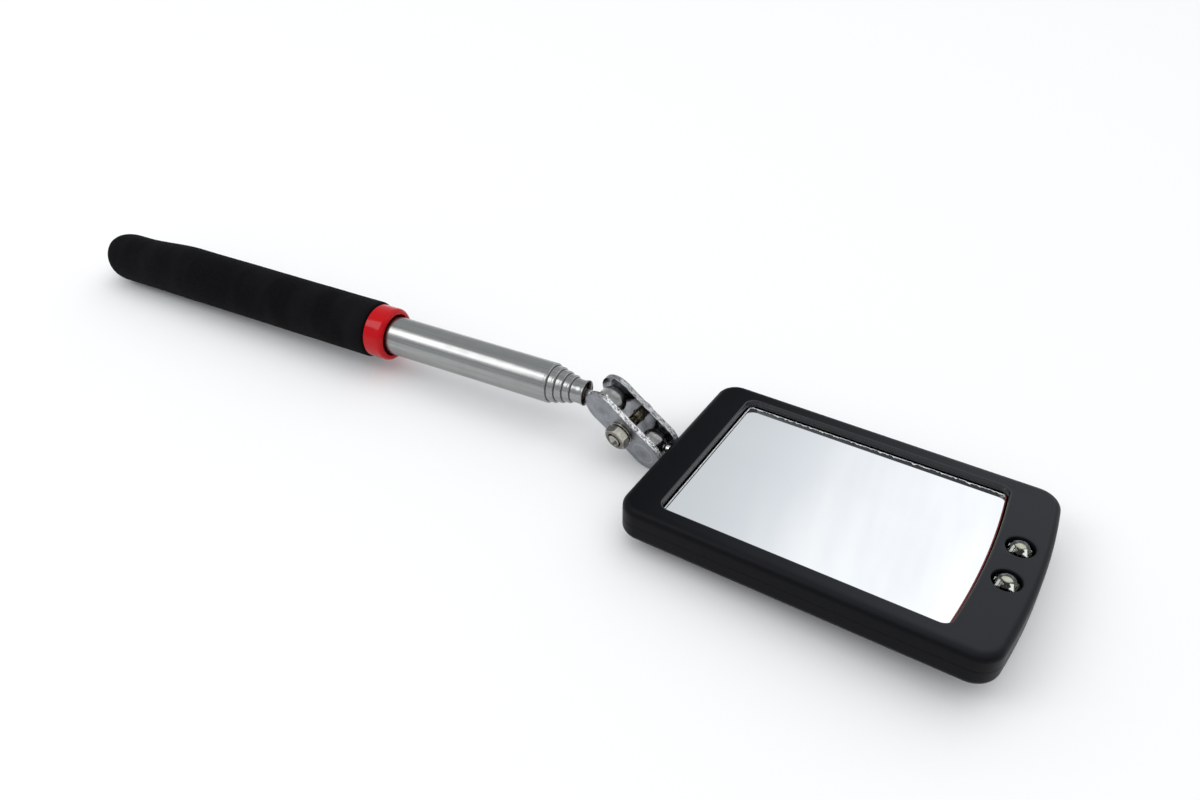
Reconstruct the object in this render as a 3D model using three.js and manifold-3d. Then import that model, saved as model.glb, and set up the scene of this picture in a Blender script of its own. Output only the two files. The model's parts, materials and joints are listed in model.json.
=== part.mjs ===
// Telescoping inspection mirror with a lit rectangular head.
// Units are millimetres and +Z is up. The head, the link and the rod are three nested groups, each with its
// own frame:
//   head  X from the hinge edge to the lamp end, Y across, Z out of the glass, back face on Z = 0
//   link  X from the rod's ball to the head's ball, Y through the plates, origin midway between the balls
//   rod   X along the tubes towards the head, origin at the centre of the rod's ball
import * as THREE from 'three';
import { mergeVertices } from 'three/addons/utils/BufferGeometryUtils.js';
import Module from 'manifold-3d';

const wasm = await Module();
wasm.setup();

// ---------------------------------------------------------------- driving dimensions

const HEAD = {
  length: 82.3, width: 54, thickness: 8.8,
  endRise: 2.1, hingeCorner: 5, lampCorner: 5.5, edgeRound: 2,
  wall: 1.8, floor: 1.2, seam: 0.2,
};
const WINDOW = { back: 8.4, tip: 71.6, half: 22.5, rise: 1.4, corner: 2.2 };
const GLASS = { back: 8.75, tip: 71.25, half: 22.15, rise: 1.35, corner: 1, bottom: 5, top: 6.95 };
const PAD = { back: 10, tip: 69.8, half: 21, bottom: 4.4, top: 4.9 };
const LIP_UNDERSIDE = 7.1;
const SEAM_Z = HEAD.thickness / 2;

const LAMP = { x: 76.3, pitch: 10.7, radius: 2.45, flange: 2.8, hole: 3, bottom: 3.3, shoulder: 7.4 };
const BOARD = { back: 73.6, front: 79.6, half: 13, bottom: 2.2, top: 3.2 };

const CELL = { x: 33, pitch: 21.2, radius: 10, bottom: 1.45, top: 3.95 };
const HOLDER = { back: 22.3, front: 47.5, half: 23.8, bottom: 1.35, top: 4.3 };
const DOOR = { back: 20, front: 46, half: 22, bottom: 0.2, top: 1, gap: 0.3, tongueY: 13 };
const SWITCH = { x: 59, length: 9, width: 4.4, bottom: 1.45, top: 4.15, travel: 2.4 };
const COVER_SCREWS = [[3.9, 19], [3.9, -19], [76.5, 19], [76.5, -19]];

const BALL_RADIUS = 3.5;
const STEM_RADIUS = 1.1;
const HEAD_BALL = new THREE.Vector3(-5.8, 0, SEAM_Z);

const LINK = { spacing: 13.9, endRadius: 5, waist: 4.8, halfGap: 2.5, plate: 1.4 };
const CLAMP = {
  shank: 1.45, tipProud: 3.4, headRadius: 2.6, headHeight: 1.8,
  nutAcrossFlats: 5.5, nutHeight: 2.4, washerRadius: 3.1, washer: 0.5,
};

const SECTION = {
  radius: 5, radiusStep: 0.5, wall: 0.25,
  tip: -15.6, tipStep: 1.9, lipTip: -6.6,
  handleBack: -154, slideBack: -150, bushLength: 8,
};
const GRIP = { radius: 7.42, bore: 5.15, front: -68.4, domeCentre: -157.5, boreEnd: -155.6 };
const COLLAR = { radius: 6.9, bore: 5.45, front: -62.6, back: -68.2 };

// How the joints stand at rest, in degrees.
const LINK_DROP = 35.3;
const LINK_YAW = 0.5;
const LINK_ROLL = 16.2;
const ROD_YAW = 5;
const ROD_DROP = 0.36;

// How the tool lies on a bench, in degrees: on the grip's rear end, the link's low end and one head corner.
const LIE_PITCH = -2.76;
const LIE_ROLL = -3.84;

const ROUND = 24; // sides of a turned piece

// ---------------------------------------------------------------- materials

function finish(color, roughness, metalness) {
  return () => new THREE.MeshStandardMaterial({ color, roughness, metalness });
}

const FOAM = finish(0x141518, 0.95, 0);
const RED_PLASTIC = finish(0xd8131f, 0.25, 0);
const BLACK_PLASTIC = finish(0x1b1d21, 0.5, 0);
const BRUSHED_STEEL = finish(0xb4b2ad, 0.32, 1);
const POLISHED_STEEL = finish(0xc6c6c8, 0.12, 1);
const PLATED_STEEL = finish(0x8e9095, 0.35, 1);
const NICKEL = finish(0xb9b39a, 0.3, 1);
const BRONZE = finish(0xa9793f, 0.35, 1);
const MIRROR = finish(0xe3e8ec, 0.03, 1);
const CLEAR_LENS = finish(0xe8ecee, 0.08, 0);
const BOARD_BLACK = finish(0x1c1d1f, 0.5, 0);
const PAD_GREY = finish(0x6c6e70, 0.9, 0);
const WIRE_RED = finish(0xb01c1c, 0.5, 0);
const WIRE_BLACK = finish(0x222222, 0.5, 0);

// ---------------------------------------------------------------- solids

function toSolid(geometry) {
  const bare = geometry.clone();
  bare.deleteAttribute('normal');
  bare.deleteAttribute('uv');
  const merged = mergeVertices(bare, 1e-4);
  const vertProperties = new Float32Array(merged.attributes.position.array);
  const triVerts = new Uint32Array(merged.index.array);
  return new wasm.Manifold(new wasm.Mesh({ numProp: 3, vertProperties, triVerts }));
}

function fromSolid(solid) {
  const { vertProperties, triVerts } = solid.getMesh();
  const geometry = new THREE.BufferGeometry();
  geometry.setAttribute('position', new THREE.BufferAttribute(vertProperties, 3));
  geometry.setIndex(new THREE.BufferAttribute(triVerts, 1));
  geometry.computeVertexNormals();
  return geometry;
}

// base, with every geometry of `add` joined on and then every one of `remove` cut away
function sculpt(base, { keep = null, add = [], remove = [] }) {
  let solid = toSolid(base);
  if (keep) solid = solid.intersect(toSolid(keep));
  for (const other of add) solid = solid.add(toSolid(other));
  for (const other of remove) solid = solid.subtract(toSolid(other));
  return fromSolid(solid);
}

function block([x0, x1], [y0, y1], [z0, z1]) {
  return new THREE.BoxGeometry(x1 - x0, y1 - y0, z1 - z0)
    .translate((x0 + x1) / 2, (y0 + y1) / 2, (z0 + z1) / 2);
}

function post(radius, [z0, z1], x, y, sides = ROUND) {
  return new THREE.CylinderGeometry(radius, radius, z1 - z0, sides)
    .rotateX(Math.PI / 2)
    .translate(x, y, (z0 + z1) / 2);
}

// a turned solid about Y, from [radius, height] points that run upwards along its outside
function turned(points, sides = ROUND) {
  return new THREE.LatheGeometry(points.map(([r, y]) => new THREE.Vector2(r, y)), sides);
}

// the same about X, from [x, radius] points that run towards +X along its outside
function turnedAlongX(points, sides = ROUND) {
  return turned(points.map(([x, r]) => [r, x]), sides).rotateZ(-Math.PI / 2);
}

function slab(shape, z0, z1, round = 0) {
  const geometry = new THREE.ExtrudeGeometry(shape, {
    depth: z1 - z0 - 2 * round,
    bevelEnabled: round > 0,
    bevelThickness: round,
    bevelSize: round,
    bevelOffset: -round,
    bevelSegments: 3,
    curveSegments: 5,
  });
  return geometry.translate(0, 0, z0 + round);
}

// A rectangle from x = back to x = tip whose tip end is an arc that rises by `rise` over its chord.
function domedOutline({ back, tip, half, rise, backCorner, tipCorner }) {
  const radius = (half * half + rise * rise) / (2 * rise);
  const centre = tip - radius;
  const cornerY = half - tipCorner;
  const turn = Math.asin(cornerY / (radius - tipCorner));
  const cornerX = centre + (radius - tipCorner) * Math.cos(turn);
  const shape = new THREE.Shape();
  shape.absarc(back + backCorner, -half + backCorner, backCorner, Math.PI, 1.5 * Math.PI);
  shape.absarc(cornerX, -cornerY, tipCorner, -Math.PI / 2, -turn);
  shape.absarc(centre, 0, radius, -turn, turn);
  shape.absarc(cornerX, cornerY, tipCorner, turn, Math.PI / 2);
  shape.absarc(back + backCorner, half - backCorner, backCorner, Math.PI / 2, Math.PI);
  return shape;
}

function headOutline(inset) {
  return domedOutline({
    back: inset,
    tip: HEAD.length - inset,
    half: HEAD.width / 2 - inset,
    rise: HEAD.endRise,
    backCorner: HEAD.hingeCorner - inset,
    tipCorner: HEAD.lampCorner - inset,
  });
}

function paneOutline({ back, tip, half, rise, corner }) {
  return domedOutline({ back, tip, half, rise, backCorner: corner, tipCorner: corner });
}

// ---------------------------------------------------------------- scene graph

const tool = new THREE.Group();
const head = new THREE.Group();
const link = new THREE.Group();
const rod = new THREE.Group();
tool.add(head, link, rod);

function place(group, name, geometry, material) {
  const mesh = new THREE.Mesh(geometry, material());
  mesh.name = name;
  group.add(mesh);
  return mesh;
}

function poseGroup(group, origin, rollDegrees, dropDegrees, yawDegrees) {
  const [roll, drop, yaw] = [rollDegrees, dropDegrees, yawDegrees].map(THREE.MathUtils.degToRad);
  group.position.copy(origin);
  group.rotation.set(roll, drop, yaw, 'ZYX');
  group.updateMatrix();
}

poseGroup(link, new THREE.Vector3(), LINK_ROLL, LINK_DROP, LINK_YAW);
const linkDirection = new THREE.Vector3(1, 0, 0).applyEuler(link.rotation);
link.position.copy(HEAD_BALL).addScaledVector(linkDirection, -LINK.spacing / 2);
const rodBall = HEAD_BALL.clone().addScaledVector(linkDirection, -LINK.spacing);
poseGroup(rod, rodBall, 0, ROD_DROP, ROD_YAW);
poseGroup(tool, new THREE.Vector3(), LIE_ROLL, LIE_PITCH, 0);

// ---------------------------------------------------------------- handle and telescoping tubes

function buildHandle() {
  const { radius, bore, front, domeCentre, boreEnd } = GRIP;
  const dome = [];
  const domeSteps = 6;
  for (let i = 0; i <= domeSteps; i += 1) {
    const angle = (i / domeSteps) * (Math.PI / 2);
    dome.push([domeCentre - radius * Math.cos(angle), radius * Math.sin(angle)]);
  }
  place(rod, 'foam_grip', turnedAlongX([
    ...dome, [front - 0.6, radius], [front, radius - 0.6], [front, bore], [boreEnd, bore], [boreEnd, 0],
  ]), FOAM);

  place(rod, 'red_collar', turnedAlongX([
    [COLLAR.back, COLLAR.bore], [COLLAR.back, COLLAR.radius], [COLLAR.front - 1.1, COLLAR.radius],
    [COLLAR.front - 0.35, COLLAR.radius - 0.3], [COLLAR.front, COLLAR.radius - 1],
    [COLLAR.front, COLLAR.bore], [COLLAR.back, COLLAR.bore],
  ]), RED_PLASTIC);

  const { handleBack } = SECTION;
  const plugRadius = SECTION.radius - SECTION.wall - 0.15;
  place(rod, 'tube_plug', turnedAlongX([
    [handleBack - 1.2, 0], [handleBack - 1.2, SECTION.radius - 0.1], [handleBack - 0.2, SECTION.radius - 0.1],
    [handleBack - 0.2, plugRadius], [handleBack + 2.8, plugRadius], [handleBack + 2.8, 0],
  ]), BLACK_PLASTIC);
}

function tubeRadius(number) {
  return SECTION.radius - SECTION.radiusStep * (number - 1);
}

// Tubes 1 to 4 have their mouth rolled in to hold the next tube's bush.
function rolledTube(number) {
  const radius = tubeRadius(number);
  const bore = radius - SECTION.wall;
  const tip = SECTION.tip + SECTION.tipStep * (number - 1);
  const back = number === 1 ? SECTION.handleBack : SECTION.slideBack + SECTION.tipStep * (number - 2);
  const lip = radius - SECTION.radiusStep + 0.05;
  return turnedAlongX([
    [back, bore], [back, radius], [tip - 0.6, radius], [tip - 0.15, radius - 0.12], [tip, radius - 0.3],
    [tip, lip], [tip - 0.5, lip], [tip - 0.8, bore], [back, bore],
  ]);
}

// Tube 5 has a flared mouth around the ball's stem.
function flaredTube() {
  const radius = tubeRadius(5);
  const bore = radius - SECTION.wall;
  const tip = SECTION.lipTip;
  const back = SECTION.slideBack + SECTION.tipStep * 3;
  return turnedAlongX([
    [back, bore], [back, radius], [tip - 1.2, radius], [tip - 0.3, radius + 0.2], [tip, radius + 0.15],
    [tip, radius - 0.08], [tip - 1.2, bore], [back, bore],
  ]);
}

// A thin split bush round the inner end of a tube rubs in the tube outside it.
function splitBush(number) {
  const inner = tubeRadius(number) + 0.02;
  const outer = inner + SECTION.wall - 0.05;
  const back = SECTION.slideBack + SECTION.tipStep * (number - 2);
  const front = back + SECTION.bushLength;
  const ring = turnedAlongX([[back, inner], [back, outer], [front, outer], [front, inner], [back, inner]]);
  return sculpt(ring, { remove: [block([back - 1, front + 1], [-0.6, 0.6], [0, 6])] });
}

function buildTubes() {
  for (let number = 1; number <= 4; number += 1) {
    place(rod, `tube_${number}`, rolledTube(number), BRUSHED_STEEL);
  }
  place(rod, 'tube_5', flaredTube(), BRUSHED_STEEL);
  for (let number = 2; number <= 5; number += 1) {
    place(rod, `tube_bush_${number}`, splitBush(number), BRONZE);
  }
}

// ---------------------------------------------------------------- ball joints and link

const STEM_START = BALL_RADIUS + 0.1;

function buildBalls() {
  const foot = tubeRadius(5) - SECTION.wall - 0.1;
  place(rod, 'rod_ball', new THREE.SphereGeometry(BALL_RADIUS, 20, 12), POLISHED_STEEL);
  place(rod, 'rod_stem', turnedAlongX([
    [-15, 0], [-15, foot], [-8.4, foot], [-7.8, foot - 0.6], [-7.8, STEM_RADIUS],
    [-STEM_START, STEM_RADIUS], [-STEM_START, 0],
  ]), POLISHED_STEEL);

  const { x, z } = HEAD_BALL;
  place(head, 'head_ball', new THREE.SphereGeometry(BALL_RADIUS, 20, 12), POLISHED_STEEL)
    .position.copy(HEAD_BALL);
  place(head, 'head_stem', turnedAlongX([
    [x + STEM_START, 0], [x + STEM_START, STEM_RADIUS], [2.1, STEM_RADIUS], [2.1, 2.1], [3.3, 2.1],
    [3.3, STEM_RADIUS], [4.7, STEM_RADIUS], [4.7, 0],
  ]).translate(0, 0, z), POLISHED_STEEL);
}

function plateOutline() {
  const { spacing, endRadius, waist } = LINK;
  const pull = 2 * waist - endRadius;
  const shape = new THREE.Shape();
  shape.moveTo(-spacing / 2, -endRadius);
  shape.quadraticCurveTo(0, -pull, spacing / 2, -endRadius);
  shape.absarc(spacing / 2, 0, endRadius, -Math.PI / 2, Math.PI / 2);
  shape.quadraticCurveTo(0, pull, -spacing / 2, endRadius);
  shape.absarc(-spacing / 2, 0, endRadius, Math.PI / 2, 1.5 * Math.PI);
  return shape;
}

function clampPlate(side) {
  const { spacing, halfGap, plate } = LINK;
  const middle = side * (halfGap + plate / 2);
  const blank = new THREE.ExtrudeGeometry(plateOutline(), { depth: plate, bevelEnabled: false, curveSegments: 10 })
    .rotateX(Math.PI / 2)
    .translate(0, middle + plate / 2, 0);
  const seat = () => new THREE.SphereGeometry(BALL_RADIUS + 0.1, ROUND, 16);
  const hole = new THREE.CylinderGeometry(CLAMP.shank + 0.2, CLAMP.shank + 0.2, 3 * plate, ROUND)
    .translate(0, middle, 0);
  return sculpt(blank, {
    remove: [seat().translate(-spacing / 2, 0, 0), seat().translate(spacing / 2, 0, 0), hole],
  });
}

function buildLink() {
  const face = LINK.halfGap + LINK.plate;
  place(link, 'link_plate_near', clampPlate(-1), PLATED_STEEL);
  place(link, 'link_plate_far', clampPlate(1), PLATED_STEEL);

  const { shank, tipProud, headRadius, headHeight, nutAcrossFlats, nutHeight, washerRadius, washer } = CLAMP;
  const headTop = face + 0.1 + headHeight;
  const screw = turned([
    [0, -face - tipProud], [shank - 0.4, -face - tipProud], [shank, -face - tipProud + 0.4], [shank, face + 0.1],
    [headRadius, face + 0.1], [headRadius, headTop - 0.8], [headRadius - 0.9, headTop], [0, headTop],
  ]);
  const slot = (a, b) => block([-a, a], [headTop - 0.9, headTop + 1], [-b, b]);
  place(link, 'clamp_screw', sculpt(screw, { remove: [slot(1.4, 0.3), slot(0.3, 1.4)] }), NICKEL);

  // a split spring washer under the nut
  const ring = turned([
    [shank + 0.15, 0], [washerRadius, 0], [washerRadius, washer], [shank + 0.15, washer], [shank + 0.15, 0],
  ]);
  const split = block([-0.3, 0.3], [-1, washer + 1], [-washerRadius - 1, 0]);
  place(link, 'clamp_washer', sculpt(ring, { remove: [split] }), NICKEL).position.set(0, -face - 0.05 - washer, 0);

  const nutMiddle = -face - washer - 0.1 - nutHeight / 2;
  const nut = new THREE.CylinderGeometry(nutAcrossFlats / Math.sqrt(3), nutAcrossFlats / Math.sqrt(3), nutHeight, 6);
  const bore = new THREE.CylinderGeometry(shank + 0.15, shank + 0.15, nutHeight + 2, ROUND);
  place(link, 'clamp_nut', sculpt(nut, { remove: [bore] }), NICKEL).position.set(0, nutMiddle, 0);
}

// ---------------------------------------------------------------- head shells

const FULL = HEAD.width;
const screwPilots = (radius, span) => COVER_SCREWS.map(([x, y]) => post(radius, span, x, y, 12));

function stemPocket(radius) {
  return turnedAlongX([[-1, 0], [-1, radius], [6, radius], [6, 0]], 16).translate(0, 0, SEAM_Z);
}

function buildShells() {
  const { length, thickness, edgeRound, wall, floor, seam } = HEAD;
  const body = () => slab(headOutline(0), 0, thickness, edgeRound);
  const upper = SEAM_Z + seam / 2;
  const lower = SEAM_Z - seam / 2;
  const stemClearance = STEM_RADIUS + 0.2;
  const boss = 1.9;

  const lamps = [-1, 1].map((side) => post(
    LAMP.hole, [LIP_UNDERSIDE - 1, thickness + 1], LAMP.x, side * LAMP.pitch / 2,
  ));
  place(head, 'front_bezel', sculpt(body(), {
    keep: block([-1, length + 1], [-FULL, FULL], [upper, thickness + 1]),
    remove: [
      sculptedCavity(upper - 1, LIP_UNDERSIDE, [upper - 1, LIP_UNDERSIDE + 0.1], boss),
      slab(paneOutline(WINDOW), LIP_UNDERSIDE - 1, thickness + 1),
      stemPocket(stemClearance),
      ...screwPilots(0.95, [upper - 1, LIP_UNDERSIDE + 0.4]),
      ...lamps,
    ],
  }), BLACK_PLASTIC);

  const door = block([DOOR.back, DOOR.front], [-DOOR.half, DOOR.half], [-1, floor + 1]);
  const switchSlot = block([SWITCH.x - 3.2, SWITCH.x + 3.2], [-1.6, 1.6], [-1, floor + 1]);
  const boardPosts = [-1, 1].map((side) => post(1.2, [floor - 0.2, BOARD.bottom - 0.1], LAMP.x, side * 10.5, 12));
  const keeper = block([3.6, 5], [-5, 5], [floor - 0.2, lower]);
  place(head, 'rear_cover', sculpt(body(), {
    keep: block([-1, length + 1], [-FULL, FULL], [-1, lower]),
    remove: [sculptedCavity(floor, lower + 1, [floor - 0.1, lower + 1], boss)],
    add: [...boardPosts, keeper],
  }), BLACK_PLASTIC);
  const cover = head.children.at(-1);
  cover.geometry = sculpt(cover.geometry, {
    remove: [
      door, switchSlot, stemPocket(stemClearance),
      ...screwPilots(0.95, [-1, lower + 1]),
      ...screwPilots(1.75, [-1, 1.3]),
    ],
  });
}

// The hollow of one shell, with the screw bosses left standing in it.
function sculptedCavity(z0, z1, bossSpan, bossRadius) {
  return sculpt(slab(headOutline(HEAD.wall), z0, z1), { remove: screwPilots(bossRadius, bossSpan) });
}

// ---------------------------------------------------------------- inside the head

function buildMirror() {
  place(head, 'mirror_glass', slab(paneOutline(GLASS), GLASS.bottom, GLASS.top), MIRROR);
  place(head, 'mirror_pad', block([PAD.back, PAD.tip], [-PAD.half, PAD.half], [PAD.bottom, PAD.top]), PAD_GREY);
}

function buildLamps() {
  const { x, pitch, radius, flange, bottom, shoulder } = LAMP;
  const profile = [[0, bottom], [flange, bottom], [flange, bottom + 1], [radius, bottom + 1], [radius, shoulder]];
  const domeSteps = 4;
  for (let i = 1; i <= domeSteps; i += 1) {
    const angle = (i / domeSteps) * (Math.PI / 2);
    profile.push([radius * Math.cos(angle), shoulder + 0.95 * radius * Math.sin(angle)]);
  }
  for (const [name, side] of [['lamp_near', -1], ['lamp_far', 1]]) {
    place(head, name, turned(profile).rotateX(Math.PI / 2), CLEAR_LENS).position.set(x, side * pitch / 2, 0);
  }
  place(head, 'lamp_board', block(
    [BOARD.back, BOARD.front], [-BOARD.half, BOARD.half], [BOARD.bottom, BOARD.top],
  ), BOARD_BLACK);
}

function buildBattery() {
  const { x, pitch, radius, bottom, top } = CELL;
  const sides = [['near', -1], ['far', 1]];
  const strip = (side, grow) => block(
    [x - 4, HOLDER.front + 3 + grow],
    [side * pitch / 2 - 2.5 - grow, side * pitch / 2 + 2.5 + grow],
    [top + 0.1 - grow, HOLDER.top - 0.05 + 5 * grow],
  );
  place(head, 'battery_holder', sculpt(
    block([HOLDER.back, HOLDER.front], [-HOLDER.half, HOLDER.half], [HOLDER.bottom, HOLDER.top]),
    {
      remove: [
        ...sides.map(([, side]) => post(radius + 0.3, [0, HOLDER.top + 1], x, side * pitch / 2, 36)),
        ...sides.map(([, side]) => strip(side, 0.2)),
      ],
    },
  ), BLACK_PLASTIC);
  for (const [name, side] of sides) {
    place(head, `coin_cell_${name}`, post(radius, [bottom, top], x, side * pitch / 2, 36), POLISHED_STEEL);
    place(head, `battery_contact_${name}`, strip(side, 0), NICKEL);
  }
}

function buildDoor() {
  const { back, front, half, bottom, top, gap, tongueY } = DOOR;
  const tongues = [-1, 1].flatMap((side) => {
    const across = [side * tongueY - 2, side * tongueY + 2];
    return [
      block([back + 0.5, back + 1.8], across, [bottom + 0.3, 1.9]),
      block([back - 1.6, back + 1.8], across, [1.35, 1.9]),
    ];
  });
  const thumbNotch = post(6, [-1, bottom + 0.4], front + 1.5, 0);
  const ribs = [0, 1, 2].map((i) => block([front - 9 - 2 * i, front - 8.2 - 2 * i], [-7, 7], [-1, bottom + 0.3]));
  place(head, 'battery_door', sculpt(
    block([back + gap, front - gap], [-half + gap, half - gap], [bottom, top]),
    { add: tongues, remove: [thumbNotch, ...ribs] },
  ), BLACK_PLASTIC);
  place(head, 'bridge_contact', block([CELL.x - 2, CELL.x + 2], [-16, 16], [top + 0.1, top + 0.3]), NICKEL);
}

function buildSwitch() {
  const { x, length, width, bottom, top, travel } = SWITCH;
  const channelTop = bottom + 1.6;
  const shell = block([x - length / 2, x + length / 2], [-width / 2, width / 2], [bottom, top]);
  const channel = block([x - 3.6, x + 3.6], [-1.35, 1.35], [0, channelTop]);
  place(head, 'switch_body', sculpt(shell, { remove: [channel] }), PLATED_STEEL);

  const start = x - travel / 2;
  place(head, 'switch_slider', sculpt(
    block([start - 1.9, start + 1.9], [-1.15, 1.15], [0.25, channelTop - 0.2]),
    { remove: [-0.8, 0, 0.8].map((at) => block([start + at - 0.15, start + at + 0.15], [-2, 2], [0, 0.5])) },
  ), BLACK_PLASTIC);
}

function buildWires() {
  const section = new THREE.Shape().absarc(0, 0, 0.45, 0, 2 * Math.PI);
  const inset = HOLDER.front + 3.6;
  const boardEdge = BOARD.back - 0.3;
  for (const [name, side, material] of [['wire_near', -1, WIRE_RED], ['wire_far', 1, WIRE_BLACK]]) {
    const start = side * CELL.pitch / 2;
    const route = new THREE.CatmullRomCurve3([
      new THREE.Vector3(inset, start, 3.6),
      new THREE.Vector3(inset + 4, start, 2.6),
      new THREE.Vector3(inset + 11, side * 7.5, 2.1),
      new THREE.Vector3(boardEdge - 4, side * 6, 2.3),
      new THREE.Vector3(boardEdge, side * 6, 2.6),
    ]);
    place(head, name, new THREE.ExtrudeGeometry(section, {
      steps: 14, extrudePath: route, curveSegments: 4,
    }), material);
  }
}

function buildCoverScrews() {
  const profile = [[0, 0.35], [1.55, 0.35], [1.55, 1.1], [0.75, 1.15], [0.75, 6.6], [0, 7.1]];
  const slot = (a, b) => block([-a, a], [-b, b], [0, 0.85]);
  COVER_SCREWS.forEach(([x, y], index) => {
    const body = turned(profile, 12).rotateX(Math.PI / 2);
    place(head, `cover_screw_${index + 1}`, sculpt(body, { remove: [slot(0.9, 0.2), slot(0.2, 0.9)] }), NICKEL)
      .position.set(x, y, 0);
  });
}

buildHandle();
buildTubes();
buildBalls();
buildLink();
buildShells();
buildMirror();
buildLamps();
buildBattery();
buildDoor();
buildSwitch();
buildWires();
buildCoverScrews();

// The origin is the middle of the outline, on the bench.
const outline = new THREE.Box3().setFromObject(tool, true);
const middle = outline.getCenter(new THREE.Vector3());
tool.position.set(-middle.x, -middle.y, -outline.min.z);

export default tool;
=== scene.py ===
"""The looks of the telescoping inspection mirror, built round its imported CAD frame.

Sizes are millimetres in three frames, and the objects are placed in metres:
  ROD   X along the tubes towards the head, origin at the rod's ball
  LINK  X from the rod's ball to the head's ball, Y through the two plates, origin midway
  HEAD  X from the hinge edge to the lamp end, Z out of the glass, back face on Z = 0
"""
import json
from math import asin, cos, dist, hypot, pi, radians, sin, sqrt, tan

import bmesh
import bpy
from mathutils import Matrix, Vector, noise
from mathutils.geometry import tessellate_polygon


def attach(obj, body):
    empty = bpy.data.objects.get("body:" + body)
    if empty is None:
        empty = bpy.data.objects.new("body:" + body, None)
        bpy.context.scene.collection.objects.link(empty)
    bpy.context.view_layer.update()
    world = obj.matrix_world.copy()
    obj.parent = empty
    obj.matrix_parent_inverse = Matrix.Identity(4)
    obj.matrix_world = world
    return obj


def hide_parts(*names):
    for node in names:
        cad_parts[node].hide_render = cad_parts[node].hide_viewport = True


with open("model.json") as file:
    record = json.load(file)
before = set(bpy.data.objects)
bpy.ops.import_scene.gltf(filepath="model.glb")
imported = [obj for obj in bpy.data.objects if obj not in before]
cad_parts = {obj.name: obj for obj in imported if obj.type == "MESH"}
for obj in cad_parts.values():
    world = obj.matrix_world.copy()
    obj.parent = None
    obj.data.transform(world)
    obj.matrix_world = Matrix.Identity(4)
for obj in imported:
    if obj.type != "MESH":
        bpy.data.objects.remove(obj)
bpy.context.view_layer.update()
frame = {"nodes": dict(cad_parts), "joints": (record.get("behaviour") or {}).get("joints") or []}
scene = bpy.context.scene
MM = 0.001
OWN_PLACE = "own_place"

THICKNESS = 8.8  # the head
SPACING, END_RADIUS, WAIST = 13.9, 5.0, 4.8  # the clamp plates
PLATE_INNER, PLATE_OUTER = 2.5, 3.9
FLARED_TIP = -6.6  # tube 5's mouth

# where the glass's edge starts to show, and where it shows in full: (from, to)
GLASS_FAR, GLASS_HINGE, GLASS_TIP = (20.3, 21.5), (10.6, 9.6), (69.2, 69.8)

# ------------ frames, from the joints

joints = {j["name"]: j for j in frame["joints"]}


def frame_matrix(origin, x_axis, y_hint):
    x = Vector(x_axis).normalized()
    y = Vector(y_hint)
    y = (y - x * y.dot(x)).normalized()
    matrix = Matrix((x, y, x.cross(y))).transposed().to_4x4()
    matrix.translation = origin
    return matrix


ROD_BALL = Vector(joints["rod_ball_fold"]["pos_m"])
HEAD_BALL = Vector(joints["head_swivel"]["pos_m"])
TUBE_AXIS = Vector(joints["rod_swivel"]["axis"])
CLAMP_AXIS = -Vector(joints["rod_ball_fold"]["axis"])

ROD = frame_matrix(ROD_BALL, TUBE_AXIS, Vector((0, 0, 1)).cross(TUBE_AXIS))
LINK = frame_matrix((ROD_BALL + HEAD_BALL) / 2, HEAD_BALL - ROD_BALL, CLAMP_AXIS)
HEAD = frame_matrix(HEAD_BALL, joints["head_swivel"]["axis"], joints["battery_door_hinge"]["axis"])
BALL_TO_HEAD = Vector((5.8, 0, -THICKNESS / 2)) * MM
HEAD.translation = HEAD @ BALL_TO_HEAD

# ------------ mesh building


class Skin:
    """The points and faces of one piece, in millimetres."""

    def __init__(self):
        self.points, self.faces, self.finishes = [], [], []
        self.finish = 0

    def loop(self, points):
        first = len(self.points)
        self.points.extend(points)
        return list(range(first, len(self.points)))

    def face(self, *corners):
        self.faces.append(corners)
        self.finishes.append(self.finish)

    def bridge(self, a, b):
        if len(a) == 1 or len(b) == 1:
            tip, ring = (a[0], b) if len(a) == 1 else (b[0], a)
            for i, corner in enumerate(ring):
                self.face(tip, corner, ring[(i + 1) % len(ring)])
            return
        for i in range(len(a)):
            k = (i + 1) % len(a)
            self.face(a[i], a[k], b[k], b[i])

    def skin(self, rings, closed=False):
        """Joins each ring of points to the next, and returns the loops."""
        loops = [self.loop(ring) for ring in rings]
        for a, b in zip(loops, loops[1:]):
            self.bridge(a, b)
        if closed:
            self.bridge(loops[-1], loops[0])
        return loops

    def fill(self, *loops):
        """A flat face bounded by the first loop, with the others as holes."""
        corners = [i for loop in loops for i in loop]
        polygon = [[Vector(self.points[i]) for i in loop] for loop in loops]
        for triangle in tessellate_polygon(polygon):
            self.face(*(corners[i] for i in triangle))

    def capped(self, rings):
        """Joins the rings and closes both ends."""
        loops = self.skin(rings)
        self.fill(loops[0])
        self.fill(loops[-1])

    def mesh(self, name):
        mesh = bpy.data.meshes.new(name)
        mesh.from_pydata([Vector(p) * MM for p in self.points], [], self.faces)
        mesh.polygons.foreach_set("material_index", self.finishes)
        work = bmesh.new()
        work.from_mesh(mesh)
        bmesh.ops.remove_doubles(work, verts=work.verts, dist=1e-8)
        bmesh.ops.dissolve_degenerate(work, edges=work.edges, dist=1e-8)
        bmesh.ops.recalc_face_normals(work, faces=work.faces)
        work.to_mesh(mesh)
        work.free()
        return mesh


def shown(name, skin, place):
    """An object of that skin, standing in the frame `place`."""
    obj = bpy.data.objects.new(name, skin.mesh(name))
    scene.collection.objects.link(obj)
    obj.matrix_world = place
    return obj


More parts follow.
